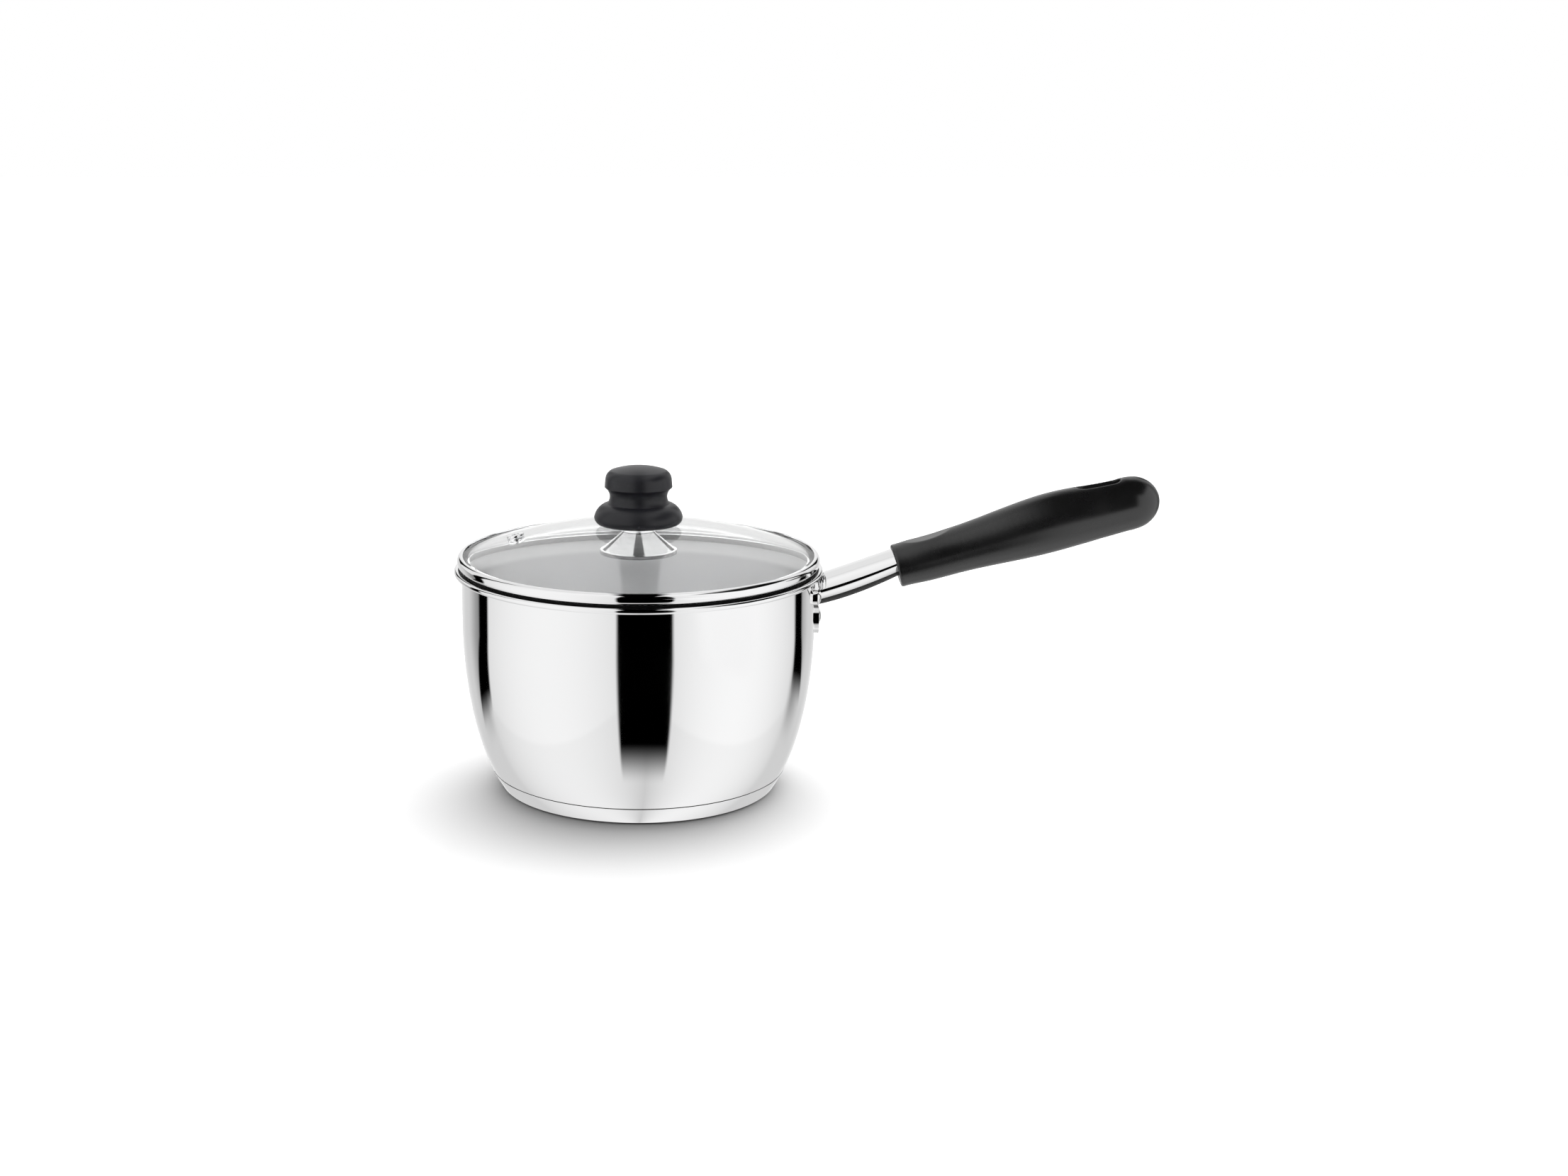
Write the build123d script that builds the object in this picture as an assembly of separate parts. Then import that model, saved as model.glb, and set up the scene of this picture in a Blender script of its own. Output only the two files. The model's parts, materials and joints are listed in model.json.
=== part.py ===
from build123d import *
import math
import os

# Saucepan with a glass lid: a drawn steel pan on a capped base, a riveted handle and a lift-off lid.
# Millimetres, +Z up, origin at the centre of the face that the pan rests on, handle along +X.

# Base: a steel cap holds an aluminium core against the underside of the pan
cap_wall = 0.8
cap_taper = 4.4
foot_step = 0.8
foot_inset = 3.0
foot_bevel = 0.8
core_inset = 1.5
core_height = 5.7
core_edge = 0.6
seam_rise = 2.3
seam_gap = 0.4
corner_inset = 3.0

# Pan: straight upper wall, elliptical belly below it and a rolled rim above it
wall = 0.8
pan_radius = 81.3
belly_height = 73.5
belly_depth = 29.6
belly_drop = 86.0
straight_height = 20.3
floor_corner = 8.0
flare_radius = 1.1
flare_angle = 80.0
rim_roll_radius = 1.3

# Bracket and rivets that carry the handle
bracket_thickness = 2.0
bracket_half_width = 19.5
bracket_side = 5.8
bracket_shoulder = 6.0
bracket_corner = 3.0
bracket_clear = 4.8
tongue_radius = 8.0
rivet_radius = 2.45
rivet_play = 0.05
rivet_head_radius = 3.75
rivet_head_height = 1.3
rivet_seat_gap = 0.1
lower_rivet_drop = 20.9
upper_rivet_drop = 8.3
upper_rivet_angle = 10.6

# Handle axis: starts on the bracket and rises away from the pan
handle_angle = 16.2
handle_drop = 7.4

# Ferrule: a polished steel tube of two shallow curves, between bracket and grip
ferrule_wall = 0.8
ferrule_edge = 1.6
ferrule_upper_share = 0.45
ferrule_length = 36.5
ferrule_width = 19.6
ferrule_mouth_width = 18.6
ferrule_root_height = 13.6
ferrule_root_offset = -0.8
ferrule_root_reach = 6.0
ferrule_belly_height = 14.6
ferrule_belly_offset = -0.8
ferrule_belly_station = 9.0
ferrule_neck_height = 14.4
ferrule_neck_offset = -0.1
ferrule_neck_station = 20.5
ferrule_mouth_height = 12.9
ferrule_mouth_offset = 1.6

# Grip: a moulded handle on the ferrule, with a thumb scoop and a hanging slot
grip_length = 123.7
grip_front_height = 20.2
grip_front_width = 22.0
grip_front_offset = -0.2
grip_front_edge = 0.8
grip_neck_station = 23.5
grip_neck_height = 21.2
grip_neck_width = 22.2
grip_neck_offset = -0.5
grip_belly_station = 74.0
grip_belly_height = 27.2
grip_belly_width = 25.6
grip_belly_offset = -0.1
grip_tail_height = 24.4
grip_tail_width = 23.6
grip_tail_offset = -1.4
grip_end_length = 13.6
grip_end_ring_angles = (25.0, 45.0, 62.0, 76.0, 85.0)
grip_section_count = 12
pocket_depth = 8.0
pocket_play = 0.15
scoop_radius = 61.0
scoop_station = 16.5
scoop_floor = 8.95
slot_length = 20.0
slot_width = 7.2
slot_end_margin = 15.0

# Bolt, lock washer and welded nut along the handle axis
bolt_radius = 2.45
bolt_bore_play = 0.35
bolt_head_radius = 4.3
bolt_head_height = 3.5
bolt_head_play = 0.5
bolt_head_sink = 6.2
bolt_tip_gap = 1.8
hex_key_width = 4.0
hex_key_depth = 2.2
lock_washer_thickness = 1.0
lock_washer_play = 0.15
lock_washer_slit = 0.8
nut_radius = 4.5
nut_length = 11.0
thread_play = 0.05

# Lid band: a crimped steel channel round the glass, on a rolled bead that sits in the pan's flare
band_overhang = 1.9
band_side = 1.4
band_sheet = 0.6
band_top_cover = 0.9
band_under_cover = 4.9
band_upper_round = 2.2
band_lower_round = 2.4
bead_radius = 1.5
bead_inset = 3.91
bead_height = 1.6
lid_clearance = 0.3

# Lid glass: a plain dome on a flat rim
glass_thickness = 4.2
glass_play = 0.3
glass_flat = 2.5
crest_height = 13.8
glass_hole_radius = 4.0

# Vent grommet through the glass, opposite the handle
vent_inset = 24.8
vent_angle = 176.0
vent_bore_radius = 1.5
vent_tube_radius = 2.75
vent_play = 0.15
vent_flange_radius = 4.1
vent_flange_height = 1.5
vent_flange_edge = 0.6
vent_flange_under = 0.8
vent_under_gap = 0.18

# Gaskets on both sides of the glass, the bell-shaped retainer under it, and its washer and screw
upper_gasket_radius = 9.0
upper_gasket_thickness = 0.4
lower_gasket_radius = 5.7
lower_gasket_thickness = 0.4
sleeve_play = 0.1
screw_radius = 2.45
screw_hole_play = 0.25
washer_radius = 5.2
washer_thickness = 1.0
screw_head_radius = 4.6
screw_head_height = 2.6
screw_tip_gap = 1.5
recess_width = 1.0
recess_length = 5.0
recess_depth = 1.4
retainer_height = 9.8
retainer_lip_radius = 17.5
retainer_lip_height = 1.7
retainer_shoulder_height = 0.25
retainer_ledge = 0.9
retainer_neck_radius = 5.9
retainer_sheet = 0.9

# Knob: skirt, waist and domed top disc, with a brass insert in its boss
knob_boss_radius = 7.6
knob_cavity_depth = 4.0
knob_cavity_radius = 14.0
skirt_inner_radius = 18.0
skirt_lift = 0.3
skirt_rim = 0.6
skirt_radius = 20.3
skirt_widest_height = 3.3
skirt_shoulder_radius = 18.4
skirt_shoulder_height = 7.2
waist_foot_radius = 14.2
waist_foot_height = 9.6
waist_radius = 13.2
waist_height = 12.2
disc_radius = 15.5
disc_height = 17.1
disc_shoulder_radius = 15.2
disc_shoulder_height = 20.8
disc_top_radius = 12.6
disc_top_height = 24.7
knob_height = 26.7
insert_radius = 3.6
insert_length = 10.0

# Heights and radii that follow from the sizes above
pan_floor = cap_wall + core_height
seam_height = pan_floor + seam_rise
belly_top = pan_floor + belly_height
flare_start = belly_top + straight_height
inner_floor = pan_floor + wall
belly_centre_radius = pan_radius - belly_depth
bracket_face_radius = pan_radius + bracket_thickness
flare_centre_radius = pan_radius + flare_radius
band_radius = pan_radius + band_overhang
glass_radius = band_radius - band_side - glass_play
bead_centre_radius = band_radius - bead_inset
seat_reach = flare_radius + wall + lid_clearance + bead_radius
seat_run = flare_centre_radius - bead_centre_radius
bead_centre_height = flare_start + math.sqrt(seat_reach**2 - seat_run**2)
band_under = bead_centre_height + bead_height
glass_rim_under = band_under + band_sheet
glass_rim_top = glass_rim_under + glass_thickness
band_top = glass_rim_top + band_sheet
dome_foot_radius = glass_radius - glass_flat
dome_bend = (dome_foot_radius**2 + crest_height**2) / (2 * crest_height)
crest_top = glass_rim_top + crest_height
knob_bottom = crest_top + upper_gasket_thickness
screw_hole_radius = screw_radius + screw_hole_play
grip_start = ferrule_length
grip_end = grip_start + grip_length
slot_start = grip_end - slot_end_margin - slot_length
bolt_seat = slot_start - bolt_head_sink


def belly_radius(height):
    """Outside radius of the pan's curved lower wall at a height."""
    reach = (belly_top - height) / belly_drop
    return belly_centre_radius + belly_depth * math.sqrt(1 - reach**2)


def dome_drop(radius):
    """How far the glass's dome lies below its crest at a radius."""
    return dome_bend - math.sqrt(dome_bend**2 - radius**2)


seam_radius = belly_radius(seam_height)
cap_edge_radius = seam_radius - cap_taper
foot_radius = cap_edge_radius - foot_inset
core_radius = foot_radius - core_inset
lower_gasket_top = crest_top - glass_thickness - dome_drop(lower_gasket_radius)
retainer_top = lower_gasket_top - lower_gasket_thickness
washer_top = retainer_top - retainer_sheet


def turned(*lines):
    """Solid turned about Z from a closed outline drawn as (radius, height)."""
    outline = Curve() + list(lines)
    return revolve(Plane.XZ * make_face(outline.edges()), Axis.Z)


def ring(outer_radius, inner_radius, bottom, top):
    """Plain ring between two heights."""
    tube = Cylinder(outer_radius, top - bottom) - Cylinder(inner_radius, top - bottom)
    return Pos(0, 0, (bottom + top) / 2) * tube


def rod(radius, start, end):
    """Plain round bar along Z between two stations."""
    return Pos(0, 0, (start + end) / 2) * Cylinder(radius, end - start)


def oval(station, offset, width, height):
    """Elliptical section of the handle at a station along its axis."""
    return Pos(0, offset, station) * Ellipse(width / 2, height / 2)


def lens(station, offset, width, height):
    """Ferrule section at a station: a taller curve above and a flatter one below, with rounded edges."""
    edge_height = offset + height / 2 - height * ferrule_upper_share
    left = (-width / 2, edge_height)
    right = (width / 2, edge_height)
    upper = ThreePointArc(right, (0, offset + height / 2), left)
    lower = ThreePointArc(left, (0, offset - height / 2), right)
    section = make_face((Curve() + [upper, lower]).edges())
    return Pos(0, 0, station) * fillet(section.vertices(), ferrule_edge)


def handle_plane():
    """Handle frame: X across the handle, Y up from it and Z along it from the bracket's face."""
    slope = math.radians(handle_angle)
    return Plane(
        origin=(bracket_face_radius, 0, flare_start - handle_drop),
        x_dir=(0, 1, 0),
        z_dir=(math.cos(slope), 0, math.sin(slope)),
    )


def radial_plane(angle, height):
    """Plane on the pan's axis whose Z points out through the wall at an angle and a height."""
    turn = math.radians(angle)
    return Plane(origin=(0, 0, height), z_dir=(math.cos(turn), math.sin(turn), 0))


def rivet_planes():
    """One rivet in the tongue and one on each side of the ferrule."""
    upper = flare_start - upper_rivet_drop
    lower = flare_start - lower_rivet_drop
    return [
        radial_plane(0, lower),
        radial_plane(upper_rivet_angle, upper),
        radial_plane(-upper_rivet_angle, upper),
    ]


def rivet_holes():
    """Bars that cut the rivet holes through wall and bracket."""
    bar = rod(rivet_radius + rivet_play, pan_radius - 4 * wall, bracket_face_radius + wall)
    return [plane * bar for plane in rivet_planes()]


def make_pan_body():
    """Drawn vessel: stepped bottom edge, elliptical belly, straight wall and rolled rim."""
    flare_centre = (flare_centre_radius, flare_start)
    belly_centre = (belly_centre_radius, belly_top)
    lean = math.radians(flare_angle)
    outer_sweep = math.degrees(math.asin((belly_top - seam_height) / belly_drop))
    inner_sweep = math.degrees(math.asin((belly_top - inner_floor) / (belly_drop - wall)))
    outer_belly = EllipticalCenterArc(
        belly_centre, belly_depth, belly_drop, -outer_sweep, arc_size=outer_sweep
    )
    inner_belly = EllipticalCenterArc(
        belly_centre, belly_depth - wall, belly_drop - wall, -inner_sweep, arc_size=inner_sweep
    )
    outer_flare = CenterArc(flare_centre, flare_radius, 180, -flare_angle)
    inner_flare = CenterArc(flare_centre, flare_radius + wall, 180, -flare_angle)
    along = Vector(math.sin(lean), math.cos(lean))
    roll_reach = rim_roll_radius + math.sqrt(rim_roll_radius**2 - (wall / 2) ** 2)
    roll_tip = (outer_flare @ 1 + inner_flare @ 1) / 2 + along * roll_reach
    step_radius = seam_radius - cap_wall
    flat_radius = step_radius - corner_inset
    vessel = turned(
        Polyline(
            (0, inner_floor),
            (0, pan_floor),
            (flat_radius, pan_floor),
            (step_radius, seam_height),
            outer_belly @ 0,
        ),
        outer_belly,
        Line(outer_belly @ 1, outer_flare @ 0),
        outer_flare,
        ThreePointArc(outer_flare @ 1, roll_tip, inner_flare @ 1),
        inner_flare,
        Line(inner_flare @ 0, inner_belly @ 1),
        inner_belly,
        Line(inner_belly @ 0, (0, inner_floor)),
    )
    corner = (inner_belly @ 0).X
    floor_edge = vessel.edges().filter_by(GeomType.CIRCLE).sort_by_distance((corner, 0, inner_floor))[0]
    vessel = fillet(floor_edge, floor_corner)
    return vessel - rivet_holes()


def make_base_core():
    """Aluminium disc between the cap and the pan's underside."""
    disc = rod(core_radius, cap_wall, pan_floor)
    return chamfer(disc.edges().filter_by(GeomType.CIRCLE), core_edge)


def make_base_cap():
    """Pressed cap that follows the belly's curve down to a slightly stepped foot."""
    top = seam_height - seam_gap
    reach = (belly_top - seam_height) / belly_drop
    slope = belly_depth * reach / (belly_drop * math.sqrt(1 - reach**2))
    downward = (-slope, -1)
    floor_edge = foot_step + cap_wall
    return turned(
        Line((seam_radius - cap_wall, top), (seam_radius, top)),
        TangentArc((seam_radius, top), (cap_edge_radius, foot_step), tangent=downward),
        Polyline(
            (cap_edge_radius, foot_step),
            (foot_radius + foot_bevel, foot_step),
            (foot_radius, 0),
            (0, 0),
            (0, cap_wall),
            (foot_radius - cap_wall / 2, cap_wall),
            (foot_radius + foot_bevel - cap_wall / 2, floor_edge),
            (cap_edge_radius, floor_edge),
        ),
        TangentArc((seam_radius - cap_wall, top), (cap_edge_radius, floor_edge), tangent=downward),
    )


def make_handle_bracket():
    """Shield-shaped plate bent to the wall, with a rounded tongue below the handle."""
    top = flare_start - bracket_clear
    side = top - bracket_side
    neck = side - bracket_shoulder
    tip = flare_start - lower_rivet_drop
    outline = Polyline(
        (-bracket_half_width, top),
        (bracket_half_width, top),
        (bracket_half_width, side),
        (tongue_radius, neck),
        (tongue_radius, tip),
        (-tongue_radius, tip),
        (-tongue_radius, neck),
        (-bracket_half_width, side),
        close=True,
    )
    shield = make_face(outline.edges())
    corners = shield.vertices().filter_by_position(Axis.Y, neck - 1, top + 1)
    shield = fillet(corners, bracket_corner)
    shield = shield + Pos(0, tip) * Circle(tongue_radius)
    blank = extrude(Plane.YZ * shield, 2 * pan_radius)
    plate = blank & ring(bracket_face_radius, pan_radius, tip - 2 * tongue_radius, top + bracket_corner)
    return plate - rivet_holes()


def make_handle_rivets():
    """Three round-headed rivets through wall and bracket."""
    inner_seat = pan_radius - wall - rivet_seat_gap
    outer_seat = bracket_face_radius
    inner_top = inner_seat - rivet_head_height
    outer_top = outer_seat + rivet_head_height
    rivet = turned(
        TangentArc((0, inner_top), (rivet_head_radius, inner_seat), tangent=(1, 0)),
        Polyline(
            (rivet_head_radius, inner_seat),
            (rivet_radius, inner_seat),
            (rivet_radius, outer_seat),
            (rivet_head_radius, outer_seat),
        ),
        TangentArc((0, outer_top), (rivet_head_radius, outer_seat), tangent=(1, 0)),
        Line((0, outer_top), (0, inner_top)),
    )
    return Compound([plane * rivet for plane in rivet_planes()])


def bracket_face():
    """Cylinder that trims what stands on the bracket's outer face."""
    return Pos(0, 0, flare_start) * Cylinder(bracket_face_radius, 2 * flare_start)


def make_handle_weld_nut():
    """Round threaded nut welded on the bracket, along the handle axis."""
    nut = rod(nut_radius, -ferrule_root_reach, nut_length)
    nut = nut - rod(bolt_radius + thread_play, -ferrule_root_reach, nut_length)
    return handle_plane() * nut - bracket_face()


def ferrule_loft(shrink):
    """Tapered body of the ferrule up to the grip, drawn in by a wall thickness where asked."""
    named = [
        (-ferrule_root_reach, ferrule_root_offset, ferrule_width, ferrule_root_height),
        (ferrule_belly_station, ferrule_belly_offset, ferrule_width, ferrule_belly_height),
        (ferrule_neck_station, ferrule_neck_offset, ferrule_width, ferrule_neck_height),
        (ferrule_length, ferrule_mouth_offset, ferrule_mouth_width, ferrule_mouth_height),
    ]
    sections = [
        lens(station, offset, width - shrink, height - shrink)
        for station, offset, width, height in named
    ]
    return loft(sections)


def mouth_plug(growth, depth):
    """Straight length that the ferrule pushes into the grip."""
    section = lens(
        ferrule_length, ferrule_mouth_offset, ferrule_mouth_width + growth, ferrule_mouth_height + growth
    )
    return extrude(section, depth)


def make_handle_ferrule():
    """Hollow steel tube, cut to the bracket at its root and pushed into the grip at its mouth."""
    outer = ferrule_loft(0) + mouth_plug(0, pocket_depth)
    inner = ferrule_loft(2 * ferrule_wall) + mouth_plug(-2 * ferrule_wall, pocket_depth)
    return handle_plane() * (outer - inner) - bracket_face()


def grip_section(station):
    """Oval of the grip at a station, eased between its front, neck, belly and tail."""
    named = [
        (grip_start, grip_front_offset, grip_front_width, grip_front_height),
        (grip_start + grip_neck_station, grip_neck_offset, grip_neck_width, grip_neck_height),
        (grip_start + grip_belly_station, grip_belly_offset, grip_belly_width, grip_belly_height),
        (grip_end - grip_end_length, grip_tail_offset, grip_tail_width, grip_tail_height),
    ]
    before, after = named[0], named[1]
    for first, second in zip(named[1:], named[2:]):
        if station > first[0]:
            before, after = first, second
    share = (station - before[0]) / (after[0] - before[0])
    eased = share * share * (3 - 2 * share)
    sizes = [a + (b - a) * eased for a, b in zip(before[1:], after[1:])]
    return oval(station, *sizes)


def grip_body():
    """Outer form of the grip: oval sections that swell to a belly and close in a rounded end."""
    tail_station = grip_end - grip_end_length
    spacing = (tail_station - grip_start) / grip_section_count
    sections = [grip_section(grip_start + spacing * index) for index in range(grip_section_count + 1)]
    for angle in grip_end_ring_angles:
        along = math.sin(math.radians(angle))
        across = math.cos(math.radians(angle))
        station = tail_station + grip_end_length * along
        sections.append(oval(station, grip_tail_offset, grip_tail_width * across, grip_tail_height * across))
    body = loft(sections)
    front = body.edges().sort_by(Axis.Z)[0]
    return fillet(front, grip_front_edge)


def make_handle_grip():
    """Grip with its ferrule pocket, bolt bore, thumb scoop and hanging slot."""
    bore_radius = bolt_radius + bolt_bore_play
    pocket = mouth_plug(2 * pocket_play, pocket_depth)
    bore = rod(bore_radius, grip_start, bolt_seat)
    sink = rod(bolt_head_radius + bolt_head_play, bolt_seat, slot_start + slot_width / 2)
    scoop_centre = (0, scoop_floor + scoop_radius, grip_start + scoop_station)
    scoop = Pos(scoop_centre) * Rot(0, 90, 0) * Cylinder(scoop_radius, 2 * grip_front_width)
    slot_outline = Rot(0, 0, 90) * SlotOverall(slot_length, slot_width)
    slot = extrude(slot_outline, 2 * grip_belly_height, both=True)
    slot = Pos(0, 0, slot_start + slot_length / 2) * Rot(90, 0, 0) * slot
    return handle_plane() * (grip_body() - pocket - bore - sink - scoop - slot)


def make_handle_lock_washer():
    """Split spring washer under the bolt's head."""
    top = bolt_seat + lock_washer_thickness
    washer = ring(bolt_head_radius, bolt_radius + lock_washer_play, bolt_seat, top)
    slit = Pos(0, bolt_head_radius, (bolt_seat + top) / 2)
    return handle_plane() * (washer - slit * Box(lock_washer_slit, 2 * bolt_head_radius, bolt_head_height))


def make_handle_bolt():
    """Long socket-headed bolt from the hanging slot to the welded nut."""
    head_seat = bolt_seat + lock_washer_thickness
    head_top = head_seat + bolt_head_height
    bolt = rod(bolt_radius, bolt_tip_gap, head_seat) + rod(bolt_head_radius, head_seat, head_top)
    socket = RegularPolygon(hex_key_width / 2, 6, major_radius=False)
    return handle_plane() * (bolt - Pos(0, 0, head_top - hex_key_depth) * extrude(socket, hex_key_depth))


def make_lid_rim_band():
    """Crimped channel round the glass's edge with a rolled bead under it."""
    under_edge = glass_radius - band_under_cover
    top_edge = glass_radius - band_top_cover
    pocket_radius = band_radius - band_side
    upper_centre = (band_radius - band_upper_round, band_top - band_upper_round)
    lower_centre = (band_radius - band_lower_round, band_under + band_lower_round)
    upper_round = CenterArc(upper_centre, band_upper_round, 0, 90)
    lower_round = CenterArc(lower_centre, band_lower_round, 0, -90)
    bead = CenterArc((bead_centre_radius, bead_centre_height), bead_radius, 0, -180)
    return turned(
        Line((top_edge, band_top), upper_round @ 1),
        upper_round,
        Line(upper_round @ 0, lower_round @ 0),
        lower_round,
        Polyline(lower_round @ 1, (bead_centre_radius + bead_radius, band_under), bead @ 0),
        bead,
        Polyline(
            bead @ 1,
            (bead_centre_radius - bead_radius, band_under),
            (under_edge, band_under),
            (under_edge, glass_rim_under),
            (pocket_radius, glass_rim_under),
            (pocket_radius, glass_rim_top),
            (top_edge, glass_rim_top),
            (top_edge, band_top),
        ),
    )


def glass_surface(drop):
    """Dome and flat rim of the glass from the screw hole outwards, lowered by a drop."""
    crest = crest_top - drop
    rim = glass_rim_top - drop
    hole_edge = (glass_hole_radius, crest - dome_drop(glass_hole_radius))
    middle_radius = (glass_hole_radius + dome_foot_radius) / 2
    middle = (middle_radius, crest - dome_drop(middle_radius))
    return [
        ThreePointArc(hole_edge, middle, (dome_foot_radius, rim)),
        Line((dome_foot_radius, rim), (glass_radius, rim)),
    ]


def vent_plane():
    """Plane on the glass's upper face at the vent, with Z along its normal."""
    vent_radius = glass_radius - vent_inset
    lean = math.asin(vent_radius / dome_bend)
    turn = math.radians(vent_angle)
    outward = Vector(math.cos(turn), math.sin(turn), 0)
    origin = outward * vent_radius + Vector(0, 0, crest_top - dome_drop(vent_radius))
    normal = outward * math.sin(lean) + Vector(0, 0, math.cos(lean))
    return Plane(origin=origin, z_dir=normal)


def make_lid_glass():
    """Tempered glass of even thickness with a flat rim, a hole for the screw and one for the vent."""
    hole_top = crest_top - dome_drop(glass_hole_radius)
    glass = turned(
        *glass_surface(0),
        *glass_surface(glass_thickness),
        Line((glass_radius, glass_rim_top), (glass_radius, glass_rim_under)),
        Line((glass_hole_radius, hole_top), (glass_hole_radius, hole_top - glass_thickness)),
    )
    hole = vent_plane() * rod(vent_tube_radius + vent_play, -2 * glass_thickness, glass_thickness)
    return glass - hole


def make_vent_grommet():
    """Steel eyelet with a rounded flange above the glass and a thin one below."""
    curve_drop = vent_flange_radius**2 / (2 * dome_bend)
    under = -glass_thickness - curve_drop - vent_under_gap
    bottom = under - vent_flange_under
    top = vent_flange_height
    eyelet = ring(vent_flange_radius, vent_bore_radius, 0, top)
    eyelet = eyelet + ring(vent_tube_radius, vent_bore_radius, under, 0)
    eyelet = eyelet + ring(vent_flange_radius, vent_bore_radius, bottom, under)
    rims = eyelet.edges().filter_by(GeomType.CIRCLE).group_by(Axis.Z)[-1]
    eyelet = fillet(rims, vent_flange_edge)
    return vent_plane() * eyelet


def make_upper_gasket():
    """Silicone ring between the glass and the knob's boss."""
    return ring(upper_gasket_radius, screw_hole_radius, crest_top, knob_bottom)


def make_lower_gasket():
    """Silicone ring under the glass with a sleeve that centres the screw in the hole."""
    disc = ring(lower_gasket_radius, screw_hole_radius, retainer_top, lower_gasket_top)
    sleeve = ring(glass_hole_radius - sleeve_play, screw_hole_radius, retainer_top, crest_top)
    return disc + sleeve


def make_glass_retainer():
    """Bell-shaped steel cup under the glass: a flat top, a wide cone and an upright lip."""
    bottom = retainer_top - retainer_height
    lip_top = bottom + retainer_lip_height
    shoulder = lip_top + retainer_shoulder_height
    foot_of_cone = retainer_lip_radius - retainer_ledge
    steepness = (retainer_top - shoulder) / (foot_of_cone - retainer_neck_radius)
    inner_lip_radius = retainer_lip_radius - retainer_sheet
    inner_neck_radius = retainer_neck_radius - retainer_sheet * (math.hypot(1, steepness) - 1) / steepness
    inner_lip_top = washer_top - (inner_lip_radius - inner_neck_radius) * steepness
    return turned(
        Polyline(
            (inner_lip_radius, bottom),
            (retainer_lip_radius, bottom),
            (retainer_lip_radius, lip_top),
            (foot_of_cone, shoulder),
            (retainer_neck_radius, retainer_top),
            (screw_hole_radius, retainer_top),
            (screw_hole_radius, washer_top),
            (inner_neck_radius, washer_top),
            (inner_lip_radius, inner_lip_top),
            close=True,
        )
    )


def make_knob_washer():
    """Steel washer inside the retainer."""
    return ring(washer_radius, screw_hole_radius, washer_top - washer_thickness, washer_top)


def make_knob_screw():
    """Round-headed screw from under the lid up into the knob's insert."""
    seat = washer_top - washer_thickness
    bottom = seat - screw_head_height
    tip = knob_bottom + insert_length - screw_tip_gap
    screw = turned(
        TangentArc((0, bottom), (screw_head_radius, seat), tangent=(1, 0)),
        Polyline(
            (screw_head_radius, seat),
            (screw_radius, seat),
            (screw_radius, tip),
            (0, tip),
            (0, bottom),
        ),
    )
    arm = Box(recess_length, recess_width, 2 * recess_depth)
    cross = arm + Rot(0, 0, 90) * arm
    return screw - Pos(0, 0, bottom) * cross


def make_knob():
    """Moulded knob: hollow skirt, waist and domed disc around a boss with a blind hole."""

    def at(radius, height):
        return (radius, knob_bottom + height)

    widest = at(skirt_radius, skirt_widest_height)
    shoulder = at(disc_shoulder_radius, disc_shoulder_height)
    taper = (disc_shoulder_radius - disc_radius, disc_shoulder_height - disc_height)
    return turned(
        Polyline(
            at(0, insert_length),
            at(insert_radius, insert_length),
            at(insert_radius, 0),
            at(knob_boss_radius, 0),
            at(knob_boss_radius, knob_cavity_depth),
            at(knob_cavity_radius, knob_cavity_depth),
            at(skirt_inner_radius, skirt_lift),
            at(skirt_inner_radius + skirt_rim, skirt_lift),
        ),
        TangentArc(widest, at(skirt_inner_radius + skirt_rim, skirt_lift), tangent=(0, -1)),
        ThreePointArc(
            widest,
            at(skirt_shoulder_radius, skirt_shoulder_height),
            at(waist_foot_radius, waist_foot_height),
        ),
        ThreePointArc(
            at(waist_foot_radius, waist_foot_height),
            at(waist_radius, waist_height),
            at(disc_radius, disc_height),
        ),
        Line(at(disc_radius, disc_height), shoulder),
        TangentArc(shoulder, at(disc_top_radius, disc_top_height), tangent=taper),
        TangentArc(at(0, knob_height), at(disc_top_radius, disc_top_height), tangent=(1, 0)),
        Line(at(0, knob_height), at(0, insert_length)),
    )


def make_knob_insert():
    """Brass threaded bush moulded into the knob's boss."""
    return ring(insert_radius, screw_radius + thread_play, knob_bottom, knob_bottom + insert_length)


pieces = {
    "pan_body": make_pan_body(),
    "base_core": make_base_core(),
    "base_cap": make_base_cap(),
    "handle_bracket": make_handle_bracket(),
    "handle_rivets": make_handle_rivets(),
    "handle_weld_nut": make_handle_weld_nut(),
    "handle_ferrule": make_handle_ferrule(),
    "handle_grip": make_handle_grip(),
    "handle_bolt": make_handle_bolt(),
    "handle_lock_washer": make_handle_lock_washer(),
    "lid_glass": make_lid_glass(),
    "lid_rim_band": make_lid_rim_band(),
    "vent_grommet": make_vent_grommet(),
    "upper_gasket": make_upper_gasket(),
    "lower_gasket": make_lower_gasket(),
    "knob_washer": make_knob_washer(),
    "knob_screw": make_knob_screw(),
    "glass_retainer": make_glass_retainer(),
    "knob": make_knob(),
    "knob_insert": make_knob_insert(),
}

os.makedirs("parts", exist_ok=True)
for name, piece in pieces.items():
    export_step(piece, os.path.join("parts", name + ".step"))
    print(name, round(piece.volume), "mm3")
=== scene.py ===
import json
import math

import bpy
from mathutils import Matrix, Vector


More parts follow.
